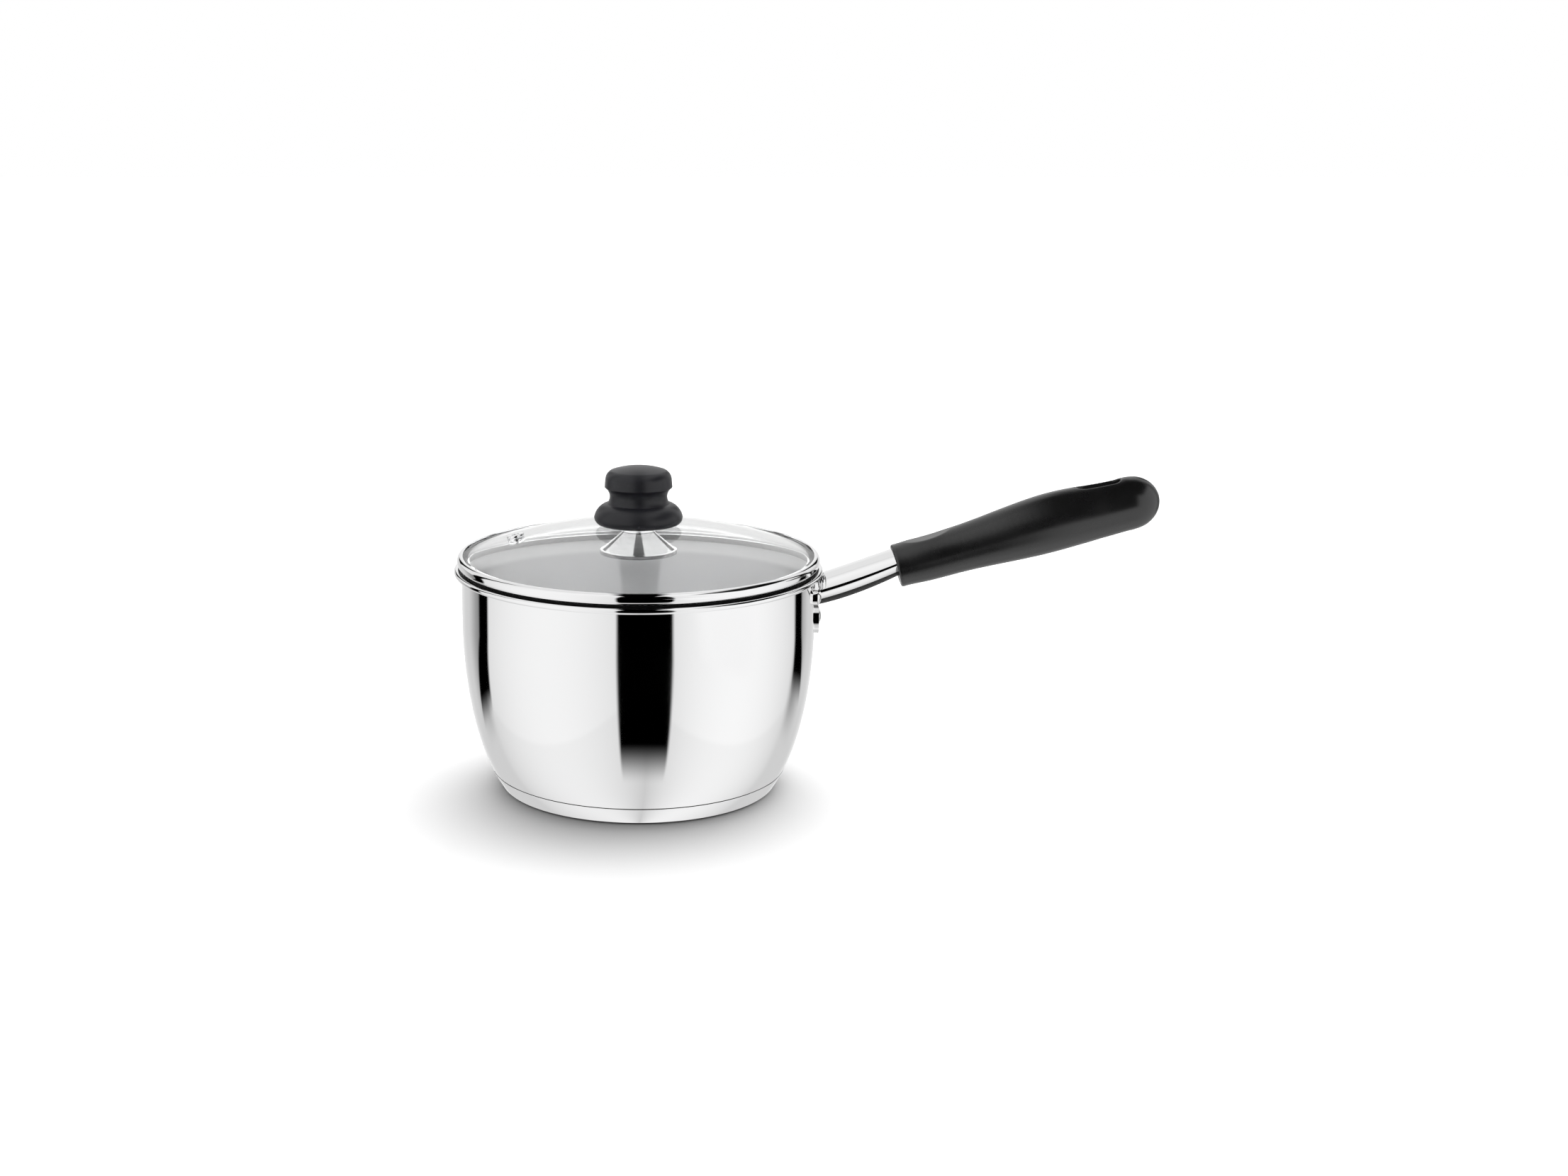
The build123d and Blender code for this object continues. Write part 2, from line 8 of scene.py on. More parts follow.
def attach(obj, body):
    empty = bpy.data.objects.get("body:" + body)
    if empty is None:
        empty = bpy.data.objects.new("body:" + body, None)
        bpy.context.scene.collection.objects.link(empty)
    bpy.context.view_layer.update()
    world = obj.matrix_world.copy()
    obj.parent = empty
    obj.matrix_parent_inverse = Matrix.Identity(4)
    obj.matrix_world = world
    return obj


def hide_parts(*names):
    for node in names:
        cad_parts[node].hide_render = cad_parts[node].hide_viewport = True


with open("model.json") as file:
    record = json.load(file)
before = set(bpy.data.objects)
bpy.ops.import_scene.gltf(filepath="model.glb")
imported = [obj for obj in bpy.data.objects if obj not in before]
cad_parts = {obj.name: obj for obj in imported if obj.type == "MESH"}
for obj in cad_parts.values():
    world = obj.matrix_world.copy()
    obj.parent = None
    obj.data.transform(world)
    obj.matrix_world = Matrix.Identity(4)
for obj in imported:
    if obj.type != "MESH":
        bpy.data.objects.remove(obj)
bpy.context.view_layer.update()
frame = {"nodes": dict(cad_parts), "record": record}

nodes = frame["nodes"]
scene = bpy.context.scene

# Sizes are in millimetres, as the part's own sizes are, and meshes are built in metres
millimetre = 0.001
turn_steps = 256
turned_crisp = 14.0
crisp_angle = 40.0
soft_edge = 0.25
edge_share = 0.45
nothing = 1e-6

# Steps along the round stretches
arc_steps = 24
edge_steps = 8
flare_steps = 12
roll_steps = 40
belly_steps = 64
corner_steps = 10
bead_steps = 20
band_steps = 16
dome_steps = 48
skirt_steps = 12
waist_steps = 20
disc_steps = 16
crease_steps = 10
ferrule_steps = 60

# Base cap and pan
foot_radius = 60.9
foot_step = 0.8
foot_bevel = 0.8
cap_edge_radius = 63.9
cap_wall = 0.8
seam_radius = 68.3
seam_height = 8.8
seam_gap = 0.4
pan_floor = 6.5
corner_inset = 3.0
wall = 0.8
pan_radius = 81.3
belly_depth = 29.6
belly_drop = 86.0
belly_top = 80.0
flare_start = 100.3
flare_radius = 1.1
flare_angle = 80.0
rim_roll_radius = 1.3
floor_corner = 8.0
corner_rise_share = 0.62
corner_run_share = 0.8
inside_share = 0.6
# Band of heights where the inside turns from grey to the painted lighter colour near the rim
painted_light_zone = (93.5, 96.5)

# Handle
bracket_face_radius = 83.3
handle_angle = 16.2
handle_height = 92.9
ferrule_wall = 0.8
ferrule_upper_share = 0.43
ferrule_bulge = 1.2
# Share of the ferrule's height, from below, that gets painted shade
ferrule_shade_share = 0.3
crease_trim = 2
keel_trim = 3
ferrule_length = 36.5
ferrule_width = 20.0
ferrule_stations = (-6.0, 9.0, 20.5, 36.5)
ferrule_heights = (13.6, 14.6, 14.4, 12.9)
ferrule_offsets = (-0.8, -0.8, -0.1, 1.6)
pocket_depth = 8.0
grip_voxel = 0.35
grip_smoothing = 14

# Lid band and glass
band_radius = 83.2
band_sheet = 0.6
band_side = 1.4
band_upper_round = 2.2
band_lower_round = 2.4
band_top_edge = 80.6
band_under_edge = 76.6
bead_radius = 1.5
bead_centre_radius = 79.29
bead_centre_height = 102.304
bead_height = 1.6
glass_radius = 81.5
glass_thickness = 4.2
glass_flat = 2.5
crest_height = 13.8
glass_hole_radius = 4.0
band_under = bead_centre_height + bead_height
glass_rim_under = band_under + band_sheet
glass_rim_top = glass_rim_under + glass_thickness
band_top = glass_rim_top + band_sheet
crest_top = glass_rim_top + crest_height
dome_foot_radius = glass_radius - glass_flat
dome_bend = (dome_foot_radius**2 + crest_height**2) / (2 * crest_height)

# Vent grommet
vent_radius = 56.7
vent_angle = 176.0
vent_bore_radius = 1.5
vent_tube_radius = 2.75
vent_hole_radius = 2.9
vent_flange_radius = 4.1
vent_flange_height = 1.5
vent_flange_under = 0.8
vent_reach = 4.42
vent_edge = 0.6

# Retainer under the glass
retainer_top = 117.834
retainer_height = 9.8
retainer_lip_radius = 17.5
retainer_lip_height = 1.7
retainer_shoulder_height = 0.25
retainer_foot_radius = 16.6
retainer_neck_radius = 5.9
retainer_sheet = 0.9
screw_hole_radius = 2.7

# Knob, with heights above its foot
knob_lift = 0.4
knob_bottom = crest_top + knob_lift
knob_edge = 0.5
boss_radius = 7.6
cavity_depth = 4.0
cavity_radius = 14.0
skirt_inner_radius = 18.0
skirt_lift = 0.3
skirt_rim = 0.6
skirt_widest = (20.3, 3.3)
skirt_shoulder = (18.4, 7.2)
waist_foot = (14.2, 9.6)
waist = (13.2, 12.2)
disc_side = (15.5, 17.1)
disc_shoulder = (15.2, 20.8)
disc_top = (12.6, 24.7)
knob_height = 26.7
insert_radius = 3.6
insert_length = 10.0


# Outlines


def bow(centre, radii, start, end, steps=arc_steps):
    """Points along an arc or an ellipse about a centre, between two angles in degrees."""
    points = []
    for index in range(steps + 1):
        angle = math.radians(start + (end - start) * index / steps)
        points.append((centre[0] + radii[0] * math.cos(angle), centre[1] + radii[1] * math.sin(angle)))
    return points


def tangent_arc(start, direction, end, steps=arc_steps):
    """Points of the arc that leaves start in a direction and reaches end."""
    way = Vector(direction).normalized()
    chord = Vector(end) - Vector(start)
    across = way.x * chord.y - way.y * chord.x
    reach = chord.length_squared / (2 * across)
    middle = Vector(start) + Vector((-way.y, way.x)) * reach
    first = math.degrees(math.atan2(start[1] - middle.y, start[0] - middle.x))
    last = math.degrees(math.atan2(end[1] - middle.y, end[0] - middle.x))
    if reach > 0 and last < first:
        last += 360
    if reach < 0 and last > first:
        last -= 360
    return bow(middle, (abs(reach), abs(reach)), first, last, steps)


def arc_through(start, middle, end, steps=arc_steps):
    """Points of the arc from start to end through a point between them."""
    first = Vector(middle) - Vector(start)
    whole = Vector(end) - Vector(start)
    scale = 2 * (first.x * whole.y - first.y * whole.x)
    near = first.length_squared
    far = whole.length_squared
    offset = Vector((whole.y * near - first.y * far, first.x * far - whole.x * near)) / scale
    way = Vector((offset.y, -offset.x))
    if way.dot(whole) < 0:
        way.negate()
    return tangent_arc(start, way, end, steps)


def eased(points, size):
    """The closed outline with each sharp corner replaced by a small curve."""
    result = []
    count = len(points)
    for index, point in enumerate(points):
        here = Vector(point)
        back = Vector(points[index - 1]) - here
        ahead = Vector(points[(index + 1) % count]) - here
        if min(back.length, ahead.length) < nothing:
            continue
        bend = math.pi - back.angle(ahead)
        if bend < math.radians(turned_crisp) or here.x < nothing:
            result.append(tuple(here))
            continue
        cut = min(size * math.tan(bend / 2), back.length * edge_share, ahead.length * edge_share)
        first = here + back.normalized() * cut
        last = here + ahead.normalized() * cut
        result += rounded(first, here, last, edge_steps)
    return result


def rounded(start, corner, end, steps):
    """Curve from start to end that bends round a corner."""
    points = []
    for index in range(steps + 1):
        share = index / steps
        ways = ((1 - share) ** 2, 2 * share * (1 - share), share**2)
        points.append(tuple(sum(w * p[k] for w, p in zip(ways, (start, corner, end))) for k in (0, 1)))
    return points


# Meshes


def finish_mesh(mesh, crisp=crisp_angle):
    """Smooth shading that keeps the edges crisp whose bend is above an angle in degrees."""
    mesh.shade_smooth()
    mesh.set_sharp_from_angle(angle=math.radians(crisp))
    return mesh


def lathe(name, outline, is_second=None):
    """Closed mesh turned about Z from a closed outline, up the outside and down the inside.

    Faces that is_second picks by their radius and height get the second finish.
    """
    vertices = []
    rings = []
    for radius, height in outline:
        start = len(vertices)
        steps = turn_steps if radius > nothing else 1
        for index in range(steps):
            angle = 2 * math.pi * index / turn_steps
            vertices.append((radius * math.cos(angle), radius * math.sin(angle), height))
        rings.append(range(start, start + steps))
    faces = []
    kinds = []
    for order, ring in enumerate(rings):
        following = rings[(order + 1) % len(rings)]
        if len(ring) == 1 and len(following) == 1:
            continue
        for index in range(turn_steps):
            after = (index + 1) % turn_steps
            corners = [
                ring[index % len(ring)],
                ring[after % len(ring)],
                following[after % len(following)],
                following[index % len(following)],
            ]
            faces.append(list(dict.fromkeys(corners)))
            kinds.append(1 if is_second and is_second(*outline[order]) else 0)
    mesh = bpy.data.meshes.new(name)
    mesh.from_pydata([Vector(vertex) * millimetre for vertex in vertices], [], faces)
    mesh.polygons.foreach_set("material_index", kinds)
    return finish_mesh(mesh, turned_crisp)


def worked(mesh, *steps):
    """The mesh after modifiers, each given as a kind and its settings."""
    piece = bpy.data.objects.new("worked", mesh)
    scene.collection.objects.link(piece)
    for kind, settings in steps:
        modifier = piece.modifiers.new(kind.lower(), kind)
        for label, value in settings.items():
            setattr(modifier, label, value)
    shown = piece.evaluated_get(bpy.context.evaluated_depsgraph_get())
    result = bpy.data.meshes.new_from_object(shown)
    bpy.data.objects.remove(piece)
    return finish_mesh(result)


def cut_away(mesh, cutter):
    """The mesh without the volume of a cutter."""
    tool = bpy.data.objects.new("cutter", cutter)
    scene.collection.objects.link(tool)
    result = worked(mesh, ("BOOLEAN", {"object": tool, "operation": "DIFFERENCE", "solver": "EXACT"}))
    bpy.data.objects.remove(tool)
    return result


def place(name, mesh, body, slot, node, *finishes):
    """Puts a mesh on a body in place of a CAD node."""
    piece = bpy.data.objects.new(name, mesh)
    scene.collection.objects.link(piece)
    for finish in finishes:
        mesh.materials.append(finish)
    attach(piece, body)
    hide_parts(node)
    return piece


# Shader nodes

noise_reach = (0.3, 0.7)


def join(tree, value, socket):
    """Links an output to a socket, or sets a plain value on it."""
    if hasattr(value, "is_linked"):
        tree.links.new(value, socket)
    else:
        socket.default_value = value


def calc(tree, operation, *values):
    """Output of a math node."""
    node = tree.nodes.new("ShaderNodeMath")
    node.operation = operation
    for value, socket in zip(values, node.inputs):
        join(tree, value, socket)
    return node.outputs[0]


def ramp(tree, value, low, high, bottom=0.0, top=1.0):
    """Smooth step of a value from bottom to top between low and high."""
    node = tree.nodes.new("ShaderNodeMapRange")
    node.interpolation_type = "SMOOTHSTEP"
    labels = ("Value", "From Min", "From Max", "To Min", "To Max")
    for given, label in zip((value, low, high, bottom, top), labels):
        join(tree, given, node.inputs[label])
    return node.outputs[0]


def between(tree, value, low, high, soft):
    """One inside a range and zero outside it, with soft ends."""
    rise = ramp(tree, calc(tree, "SUBTRACT", value, low), -soft, soft)
    fall = ramp(tree, calc(tree, "SUBTRACT", high, value), -soft, soft)
    return calc(tree, "MULTIPLY", rise, fall)


def make_finish(name, **sockets):
    """Material with a shader whose constants sit on its own sockets."""
    finish = bpy.data.materials.new(name)
    finish.use_nodes = True
    shader = finish.node_tree.nodes["Principled BSDF"]
    for label, value in sockets.items():
        shader.inputs[label.replace("_", " ")].default_value = value
    return finish, finish.node_tree, shader


def split_place(tree, kind="Object"):
    """The three coordinates of a place, in the object's own frame unless another is named."""
    split = tree.nodes.new("ShaderNodeSeparateXYZ")
    tree.links.new(tree.nodes.new("ShaderNodeTexCoord").outputs[kind], split.inputs[0])
    return split.outputs


def noise(tree, scale, detail=3.0, vector=None):
    """Noise in the object's own coordinates, or in a vector's."""
    if vector is None:
        vector = tree.nodes.new("ShaderNodeTexCoord").outputs["Object"]
    node = tree.nodes.new("ShaderNodeTexNoise")
    node.inputs["Scale"].default_value = scale
    node.inputs["Detail"].default_value = detail
    tree.links.new(vector, node.inputs["Vector"])
    return node.outputs[0]


def spread(tree, value, low, high):
    """Noise stretched to a range."""
    return ramp(tree, value, *noise_reach, low, high)


def tint(tree, value, first, second):
    """Colour between two by a factor."""
    node = tree.nodes.new("ShaderNodeMix")
    node.data_type = "RGBA"
    tree.links.new(value, node.inputs["Factor"])
    node.inputs["A"].default_value = (*first, 1)
    node.inputs["B"].default_value = (*second, 1)
    return node.outputs["Result"]


def vary(tree, shader, value, dark, light, smooth, rough):
    """Colour and roughness of a shader, each between two levels by a noise."""
    tree.links.new(tint(tree, value, dark, light), shader.inputs["Base Color"])
    tree.links.new(spread(tree, value, smooth, rough), shader.inputs["Roughness"])


def bump(tree, shader, height, strength, distance):
    """Fine relief on a shader."""
    node = tree.nodes.new("ShaderNodeBump")
    node.inputs["Strength"].default_value = strength
    node.inputs["Distance"].default_value = distance
    tree.links.new(height, node.inputs["Height"])
    tree.links.new(node.outputs["Normal"], shader.inputs["Normal"])


def turned_coordinates(tree):
    """Vector of radius and height, so that a texture runs in rings about the pan's axis."""
    x, y, z = split_place(tree)
    squares = [calc(tree, "POWER", side, 2.0) for side in (x, y)]
    radius = calc(tree, "SQRT", calc(tree, "ADD", *squares))
    combine = tree.nodes.new("ShaderNodeCombineXYZ")
    tree.links.new(radius, combine.inputs[0])
    tree.links.new(z, combine.inputs[1])
    return combine.outputs[0]


# Finishes


def make_polished_steel():
    """Mirror finish with faint smears and polishing rings."""
    finish, tree, shader = make_finish("polished_steel_finish", Metallic=1.0)
    smear = noise(tree, scale=22.0, detail=4.0)
    vary(tree, shader, smear, dark=(0.94, 0.94, 0.945), light=(0.97, 0.97, 0.97), smooth=0.025, rough=0.06)
    rings = noise(tree, scale=1800.0, detail=2.0, vector=turned_coordinates(tree))
    bump(tree, shader, rings, strength=0.02, distance=0.00002)
    return finish


def make_brushed_steel():
    """Satin inside of the pan, brushed in rings, with painted light that colours a zone below the rim
    lighter than the inside further down.
    """
    finish, tree, shader = make_finish("brushed_steel_finish", Metallic=0.4, Anisotropic=0.85)
    shader.inputs["Anisotropic Rotation"].default_value = 0.25
    rings = noise(tree, scale=1400.0, vector=turned_coordinates(tree))
    height = split_place(tree)["Z"]
    # Painted light: the inside is coloured near white above this band of heights, for the light near the
    # rim, and greyer below it
    low, high = (bound * millimetre for bound in painted_light_zone)
    zone = ramp(tree, calc(tree, "MULTIPLY_ADD", rings, millimetre, height), low, high)
    colour = tint(tree, zone, first=(0.72, 0.72, 0.725), second=(0.96, 0.96, 0.96))
    tree.links.new(colour, shader.inputs["Base Color"])
    tree.links.new(spread(tree, rings, low=0.46, high=0.54), shader.inputs["Roughness"])
    tangent = tree.nodes.new("ShaderNodeTangent")
    tangent.direction_type = "RADIAL"
    tangent.axis = "Z"
    tree.links.new(tangent.outputs[0], shader.inputs["Tangent"])
    bump(tree, shader, rings, strength=0.08, distance=0.00003)
    return finish


def make_satin_metal(name, **levels):
    """Plain metal with a fine grain."""
    finish, tree, shader = make_finish(name, Metallic=1.0)
    grain = noise(tree, scale=900.0, detail=4.0)
    vary(tree, shader, grain, **levels)
    bump(tree, shader, grain, strength=0.1, distance=0.00003)
    return finish


def make_glass():
    """Clear tempered glass with a slight waviness."""
    finish, tree, shader = make_finish("clear_glass_finish", Transmission_Weight=1.0, IOR=1.45)
    wave = noise(tree, scale=30.0, detail=2.0)
    vary(tree, shader, wave, dark=(0.97, 0.975, 0.975), light=(0.985, 0.99, 0.99), smooth=0.0, rough=0.01)
    bump(tree, shader, wave, strength=0.01, distance=0.0001)
    return finish


def make_plastic(name, gloss, **levels):
    """Moulded satin plastic with a fine grain."""
    finish, tree, shader = make_finish(name, Specular_IOR_Level=gloss)
    cloud = noise(tree, scale=60.0, detail=4.0)
    grain = noise(tree, scale=2600.0)
    vary(tree, shader, cloud, **levels)
    bump(tree, shader, grain, strength=0.08, distance=0.00004)
    return finish


def make_silicone():
    """Soft clear gasket."""
    finish, tree, shader = make_finish("silicone_finish", Transmission_Weight=1.0, IOR=1.41)
    cloud = noise(tree, scale=300.0)
    vary(tree, shader, cloud, dark=(0.92, 0.92, 0.92), light=(0.96, 0.96, 0.96), smooth=0.02, rough=0.06)
    bump(tree, shader, cloud, strength=0.1, distance=0.00005)
    return finish


polished = make_polished_steel()
brushed = make_brushed_steel()
glass = make_glass()
grip_plastic = make_plastic(
    "grip_finish",
    gloss=0.8,
    dark=(0.002, 0.002, 0.0021),
    light=(0.004, 0.004, 0.0042),
    smooth=0.24,
    rough=0.30,
)
knob_plastic = make_plastic(
    "knob_finish",
    gloss=0.4,
    dark=(0.012, 0.012, 0.0155),
    light=(0.016, 0.016, 0.020),
    smooth=0.32,
    rough=0.40,
)
silicone = make_silicone()
fastener = make_satin_metal(
    "fastener_finish",
    dark=(0.50, 0.50, 0.51),
    light=(0.62, 0.62, 0.63),
    smooth=0.25,
    rough=0.38,
)
# Painted shade: near-black metal on the bead under the lid band and on the ferrule's underside, standing in
# for the shade and dark reflections there
painted_shade_steel = make_satin_metal(
    "tarnished_finish",
    dark=(0.015, 0.015, 0.015),
    light=(0.03, 0.03, 0.03),
    smooth=0.4,
    rough=0.55,
)
retainer_steel = make_satin_metal(
    "retainer_finish",
    dark=(0.29, 0.29, 0.29),
    light=(0.33, 0.33, 0.33),
    smooth=0.03,
    rough=0.07,
)
aluminium = make_satin_metal(
    "aluminium_finish",
    dark=(0.70, 0.70, 0.71),
    light=(0.78, 0.78, 0.79),
    smooth=0.3,
    rough=0.42,
)
brass = make_satin_metal(
    "brass_finish",
    dark=(0.62, 0.45, 0.20),
    light=(0.74, 0.56, 0.28),
    smooth=0.25,
    rough=0.36,
)

finish_of_slot = {
    "polished_steel": polished,
    "core_aluminium": aluminium,
    "fastener_steel": fastener,
    "grip_plastic": grip_plastic,
    "knob_plastic": knob_plastic,
    "gasket_silicone": silicone,
    "insert_brass": brass,
    "clear_glass": glass,
}
for part in frame["record"]["subparts"]:
    node = nodes[part["node"]]
    node.data.materials.clear()
    node.data.materials.append(finish_of_slot[part["material_slot"]])


# Pan and base


def pan_outline():
    """Outline of the pan from its underside up the outside, over the rolled rim and down the inside."""
    lean = math.radians(flare_angle)
    belly_centre = (pan_radius - belly_depth, belly_top)
    flare_centre = (pan_radius + flare_radius, flare_start)
    inner_flare_radius = flare_radius + wall
    inner_floor = pan_floor + wall
    step_radius = seam_radius - cap_wall
    outer_sweep = math.degrees(math.asin((belly_top - seam_height) / belly_drop))
    inner_sweep = math.degrees(math.asin((belly_top - inner_floor) / (belly_drop - wall)))
    outer_flare = bow(flare_centre, (flare_radius, flare_radius), 180, 180 - flare_angle, flare_steps)
    inner_radii = (inner_flare_radius, inner_flare_radius)
    inner_flare = bow(flare_centre, inner_radii, 180 - flare_angle, 180, flare_steps)
    neck = (Vector(outer_flare[-1]) + Vector(inner_flare[0])) / 2
    along = Vector((math.sin(lean), math.cos(lean)))
    roll_centre = neck + along * math.sqrt(rim_roll_radius**2 - (wall / 2) ** 2)
    opening = math.degrees(math.asin(wall / 2 / rim_roll_radius))
    facing = math.degrees(math.atan2(-along.y, -along.x))
    roll_radii = (rim_roll_radius, rim_roll_radius)
    roll = bow(roll_centre, roll_radii, facing + opening, facing + 360 - opening, roll_steps)
    inner_belly = bow(belly_centre, (belly_depth - wall, belly_drop - wall), 0, -inner_sweep, belly_steps)
    corner = inner_belly[-1]
    corner_top = inner_floor + floor_corner * corner_rise_share
    corner_end = (corner[0] - floor_corner * corner_run_share, inner_floor)
    upright = [point for point in inner_belly if point[1] > corner_top]
    points = [(0, pan_floor), (step_radius - corner_inset, pan_floor), (step_radius, seam_height)]
    points += bow(belly_centre, (belly_depth, belly_drop), -outer_sweep, 0, belly_steps)
    points += outer_flare + roll[1:-1] + inner_flare + upright[:-1]
    points += rounded(upright[-1], corner, corner_end, corner_steps)
    points += [(corner[0] / 2, inner_floor), (0, inner_floor)]
    return points


def is_pan_inside(radius, height):
    """Tells the inner face of the pan below its rim."""
    if height < pan_floor + wall / 2 or height > flare_start + wall:
        return False
    reach = max(0.0, (belly_top - height) / belly_drop)
    face = pan_radius - belly_depth + belly_depth * math.sqrt(1 - reach**2)
    return radius < face - wall * inside_share


def cap_outline():
    """Outline of the base cap: its foot, its curved side and its thickness."""
    top = seam_height - seam_gap
    reach = (belly_top - seam_height) / belly_drop
    slope = belly_depth * reach / (belly_drop * math.sqrt(1 - reach**2))
    downward = (-slope, -1)
    floor_edge = foot_step + cap_wall
    side = tangent_arc((seam_radius, top), downward, (cap_edge_radius, foot_step))
    inner_side = tangent_arc((seam_radius - cap_wall, top), downward, (cap_edge_radius, floor_edge))
    points = [(0, 0), (foot_radius / 2, 0), (foot_radius, 0), (foot_radius + foot_bevel, foot_step)]
    points += side[::-1] + inner_side
    points += [
        (foot_radius + foot_bevel - cap_wall / 2, floor_edge),
        (foot_radius - cap_wall / 2, cap_wall),
        (0, cap_wall),
    ]
    return eased(points, soft_edge)


# Lid


def band_outline():
    """Outline of the crimped lid band with its rolled bead."""
    upper_centre = (band_radius - band_upper_round, band_top - band_upper_round)
    lower_centre = (band_radius - band_lower_round, band_under + band_lower_round)
    pocket_radius = band_radius - band_side
    points = bow((bead_centre_radius, bead_centre_height), (bead_radius, bead_radius), -180, 0, bead_steps)
    points += [(bead_centre_radius + bead_radius, band_under)]
    points += bow(lower_centre, (band_lower_round, band_lower_round), -90, 0, band_steps)
    points += bow(upper_centre, (band_upper_round, band_upper_round), 0, 90, band_steps)
    points += [
        (band_top_edge, band_top),
        (band_top_edge, glass_rim_top),
        (pocket_radius, glass_rim_top),
        (pocket_radius, glass_rim_under),
        (band_under_edge, glass_rim_under),
        (band_under_edge, band_under),
        (bead_centre_radius - bead_radius, band_under),
    ]
    return eased(points, soft_edge)


def is_band_under(radius, height):
    """Tells the bead and the underside of the band, which get the near-black finish of painted shade."""
    return height < band_under + band_sheet / 2 and radius < band_radius - band_side


def dome_height(radius):
    """Height of the glass's upper face at a radius inside its rim."""
    return crest_top - dome_bend + math.sqrt(dome_bend**2 - radius**2)


def glass_outline():
    """Outline of the glass: its underside outwards and its upper face back."""
    run = dome_foot_radius - glass_hole_radius
    radii = [glass_hole_radius + run * index / dome_steps for index in range(dome_steps + 1)]
    upper = [(radius, dome_height(radius)) for radius in radii] + [(glass_radius, glass_rim_top)]
    lower = [(radius, height - glass_thickness) for radius, height in upper]
    return eased(lower + upper[::-1], soft_edge)


def retainer_outline():
    """Outline of the bell-shaped retainer under the glass."""
    bottom = retainer_top - retainer_height
    lip_top = bottom + retainer_lip_height
    shoulder = lip_top + retainer_shoulder_height
    under = retainer_top - retainer_sheet
    steepness = (retainer_top - shoulder) / (retainer_foot_radius - retainer_neck_radius)
    inner_lip = retainer_lip_radius - retainer_sheet
    inner_neck = retainer_neck_radius - retainer_sheet * (math.hypot(1, steepness) - 1) / steepness
    points = [
        (inner_lip, bottom),
        (retainer_lip_radius, bottom),
        (retainer_lip_radius, lip_top),
        (retainer_foot_radius, shoulder),
        (retainer_neck_radius, retainer_top),
        (screw_hole_radius, retainer_top),
        (screw_hole_radius, under),
        (inner_neck, under),
        (inner_lip, under - (inner_lip - inner_neck) * steepness),
    ]
    return eased(points, soft_edge)


def knob_outline():
    """Outline of the knob from its blind hole out under the skirt, up the side and over the top."""

    def at(point):
        return (point[0], knob_bottom + point[1])

    skirt_foot = at((skirt_inner_radius + skirt_rim, skirt_lift))
    taper = Vector(disc_shoulder) - Vector(disc_side)
    points = [
        at((0, insert_length)),
        at((insert_radius, insert_length)),
        at((insert_radius, 0)),
        at((boss_radius, 0)),
        at((boss_radius, cavity_depth)),
        at((cavity_radius, cavity_depth)),
        at((skirt_inner_radius, skirt_lift)),
    ]
    points += tangent_arc(at(skirt_widest), (0, -1), skirt_foot, skirt_steps)[::-1]
    points += arc_through(at(skirt_widest), at(skirt_shoulder), at(waist_foot), waist_steps)[1:]
    points += arc_through(at(waist_foot), at(waist), at(disc_side), waist_steps)[1:]
    points += tangent_arc(at(disc_shoulder), taper, at(disc_top), disc_steps)
    points += tangent_arc(at((0, knob_height)), (1, 0), at(disc_top), disc_steps)[::-1][1:]
    return eased(points, knob_edge)


def vent_frame():
    """Matrix of the vent's place on the glass, with Z along the glass's normal."""
    lean = math.asin(vent_radius / dome_bend)
    out = Matrix.Rotation(math.radians(vent_angle), 4, "Z")
    spot = Matrix.Translation(Vector((vent_radius, 0, dome_height(vent_radius))) * millimetre)
    return out @ spot @ Matrix.Rotation(lean, 4, "Y")


def vent_outline():
    """Outline of the vent's eyelet about its own axis."""
    points = [
        (vent_bore_radius, -vent_reach - vent_flange_under),
        (vent_flange_radius, -vent_reach - vent_flange_under),
        (vent_flange_radius, -vent_reach),
        (vent_tube_radius, -vent_reach),
        (vent_tube_radius, 0),
        (vent_flange_radius, 0),
        (vent_flange_radius, vent_flange_height),
        (vent_bore_radius, vent_flange_height),
    ]
    return eased(points, vent_edge)


def vent_hole():
    """Bar that cuts the vent's hole through the glass."""
    reach = 2 * glass_thickness
    bar = [(0, -reach), (vent_hole_radius, -reach), (vent_hole_radius, reach), (0, reach)]
    return lathe("vent_hole", bar)


# Handle


def handle_point(across, up, along):
    """Point of the handle's own frame in the pan's frame."""
    slope = math.radians(handle_angle)
    start = Vector((bracket_face_radius, across, handle_height))
    rise = Vector((-math.sin(slope), 0, math.cos(slope)))
    run = Vector((math.cos(slope), 0, math.sin(slope)))
    return start + rise * up + run * along


def through(values, station):
    """Value at a station of the smooth curve through the ferrule's named sections."""
    total = 0
    for index, value in enumerate(values):
        for other, spot in enumerate(ferrule_stations):
            if other != index:
                value *= (station - spot) / (ferrule_stations[index] - spot)
        total += value
    return total


def ferrule_section(station, shrink):
    """Section of the ferrule: a bow above and a keel below, which meet in a rounded crease on each side."""
    spot = min(station, ferrule_length)
    height = through(ferrule_heights, spot) - shrink
    half = (ferrule_width - shrink) / 2
    upper = height * ferrule_upper_share
    crease = through(ferrule_offsets, spot) + height / 2 - upper
    lower = height - upper
    bulge = Vector((-lower, -half)).normalized() * ferrule_bulge
    over = arc_through((half, 0), (0, upper), (-half, 0))[1:-1]
    near = arc_through((-half, 0), bulge - Vector((half, lower)) / 2, (0, -lower))[crease_trim:-keel_trim]
    far = [(-across, up) for across, up in near[::-1]]
    points = rounded(far[-1], (half, 0), over[0], crease_steps) + over[1:-1]
    points += rounded(over[-1], (-half, 0), near[0], crease_steps) + near[1:-1]
    points += rounded(near[-1], (0, -lower), far[0], crease_steps) + far[1:-1]
    return [(across, crease + up) for across, up in points]


